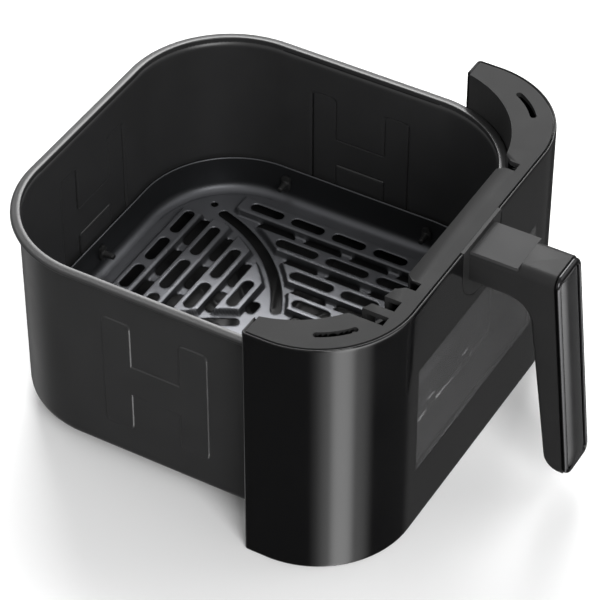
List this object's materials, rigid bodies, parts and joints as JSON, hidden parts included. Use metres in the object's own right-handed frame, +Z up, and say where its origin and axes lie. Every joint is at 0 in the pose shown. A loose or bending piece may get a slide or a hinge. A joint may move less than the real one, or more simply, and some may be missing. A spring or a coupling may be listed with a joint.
{
  "type": "air fryer drawer",
  "caption": "Pull-out drawer of an air fryer: square pan with lift-out crisper tray, black wrap-round front with a window, and an upright handle.",
  "frame": {"origin": "under the middle of the drawer's bounding box, on the plane of the housing's lower edge", "axes": "+Z up, -Y towards the handle, +X to the right of a person who faces the handle's side"},
  "size_m": [0.264, 0.3205, 0.1593],
  "materials": {
    "pan_coating": "satin",
    "tray_coating": "satin",
    "bumper_silicone": "matte",
    "shell_gloss": "gloss",
    "bezel_matte": "matte",
    "cover_black": "matte",
    "pane_tinted": "gloss",
    "seal_black": "matte",
    "glass_clear": "gloss",
    "steel_sheet": "brushed",
    "steel_fastener": "satin",
    "handle_black": "matte",
    "core_cast": "cast",
    "cap_grey": "matte",
    "trim_chrome": "polished",
    "panel_graphite": "gloss"
  },
  "bodies": {
    "drawer": {"pan": "pan_coating", "front_shell": "shell_gloss", "top_bezel": "bezel_matte", "rear_cover": "cover_black", "window_pane": "pane_tinted", "window_seal": "seal_black", "window_shroud": "cover_black", "inner_glass": "glass_clear", "glass_gasket": "seal_black", "glass_frame": "steel_sheet", "glass_frame_rivets": "steel_fastener", "mount_bracket": "steel_sheet", "bracket_rivets": "steel_fastener", "handle_base": "handle_black", "handle_body": "handle_black", "handle_core": "core_cast", "core_screws": "steel_fastener", "arm_cap": "cap_grey", "grip_trim": "trim_chrome", "grip_panel": "panel_graphite", "handle_screws": "steel_fastener", "handle_washers": "steel_fastener", "bezel_screws": "steel_fastener", "cover_screws": "steel_fastener"},
    "tray": {"crisper_tray": "tray_coating", "tray_bumpers": "bumper_silicone"}
  },
  "joints": [
    {"name": "tray_lift", "type": "slide", "parent": "drawer", "child": "tray", "axis": [0, 0, 1], "range_m": [0, 0.14]}
  ]
}
